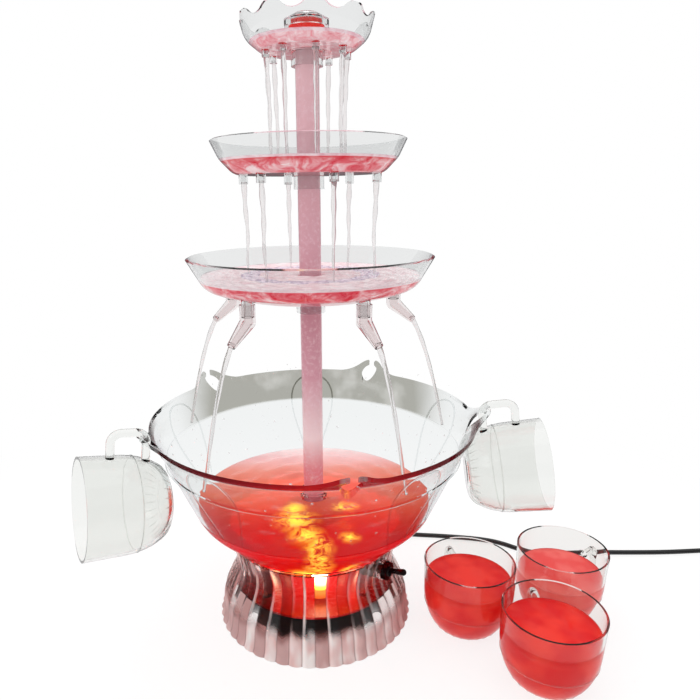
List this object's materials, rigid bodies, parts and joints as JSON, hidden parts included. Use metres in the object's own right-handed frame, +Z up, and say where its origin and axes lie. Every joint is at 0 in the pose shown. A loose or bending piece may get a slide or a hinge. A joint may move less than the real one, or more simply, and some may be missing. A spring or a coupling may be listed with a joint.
{
  "type": "drink fountain",
  "caption": "Tiered clear drink fountain: lit fluted base, pump column, stacked trays with drip stubs and spouts, a bowl with keyhole hooks, handled cups and a mains cord.",
  "frame": {"origin": "centre of the base on the table, on the column's axis", "axes": "+Z up along the column, +X to the right and +Y to the back as the set is seen from the front"},
  "size_m": [0.7073, 0.2921, 0.5068],
  "materials": {
    "clear_styrene": "clear moulded, polished",
    "clear_cup": "clear moulded, polished",
    "black_gloss": "black, polished",
    "black_plastic": "black, fine grain",
    "steel": "plain",
    "black_rubber": "matt",
    "white_plastic": "natural white",
    "lamp_glass": "frosted, warm",
    "soft_clear": "translucent",
    "cord_sheath": "black, satin",
    "pin_brass": "plain"
  },
  "bodies": {
    "base": {"base_skirt": "clear_styrene", "bowl": "clear_styrene", "pump_cover": "clear_styrene", "lower_tube": "clear_styrene", "large_tray": "clear_styrene", "middle_tube": "clear_styrene", "middle_tray": "clear_styrene", "upper_tube": "clear_styrene", "crown_tray": "clear_styrene", "outlet_cap": "clear_styrene", "spout_1": "clear_styrene", "spout_2": "clear_styrene", "spout_3": "clear_styrene", "spout_4": "clear_styrene", "spout_5": "clear_styrene", "deck_plate": "black_gloss", "motor_tub": "black_plastic", "bottom_cover": "black_plastic", "deck_screws": "steel", "cover_screws": "steel", "rubber_feet": "black_rubber", "motor_can": "steel", "motor_bracket": "black_plastic", "shaft_sleeve": "white_plastic", "shaft_seal": "black_rubber", "lamp_sockets": "white_plastic", "lamp_bulbs": "lamp_glass", "switch_body": "black_plastic", "switch_nut": "black_plastic", "bowl_gasket": "soft_clear", "cord_gland": "black_plastic", "cord_lead": "cord_sheath", "cord_coil": "cord_sheath", "cord_tie": "black_plastic", "plug_body": "cord_sheath", "plug_pins": "pin_brass"},
    "rotor": {"motor_shaft": "steel", "impeller": "white_plastic"},
    "lever": {"switch_lever": "black_gloss"},
    "cup_left_body": {"cup_left": "clear_cup"},
    "cup_right_body": {"cup_right": "clear_cup"},
    "cup_near_body": {"cup_near": "clear_cup"},
    "cup_mid_body": {"cup_mid": "clear_cup"},
    "cup_far_body": {"cup_far": "clear_cup"}
  },
  "joints": [
    {"name": "pump_spin", "type": "hinge", "parent": "base", "child": "rotor", "pos_m": [0, 0, 0.09], "axis": [0, 0, 1], "continuous": true},
    {"name": "switch_toggle", "type": "hinge", "parent": "base", "child": "lever", "pos_m": [0.0621, -0.04595, 0.06496], "axis": [0.5948, 0.8039, 0], "range_deg": [0, 28]},
    {"name": "cup_left_swing", "type": "hinge", "parent": "base", "child": "cup_left_body", "pos_m": [-0.13411, -0.07281, 0.2035], "axis": [-0.4772, 0.8788, 0], "range_deg": [0, 25]},
    {"name": "cup_right_swing", "type": "hinge", "parent": "base", "child": "cup_right_body", "pos_m": [0.15129, -0.01992, 0.2035], "axis": [-0.1305, -0.9914, 0], "range_deg": [0, 25]},
    {"name": "cup_near_lift", "type": "slide", "parent": "base", "child": "cup_near_body", "axis": [0, 0, 1], "range_m": [0, 0.05]},
    {"name": "cup_mid_lift", "type": "slide", "parent": "base", "child": "cup_mid_body", "axis": [0, 0, 1], "range_m": [0, 0.034]},
    {"name": "cup_far_lift", "type": "slide", "parent": "base", "child": "cup_far_body", "axis": [0, 0, 1], "range_m": [0, 0.034]}
  ]
}
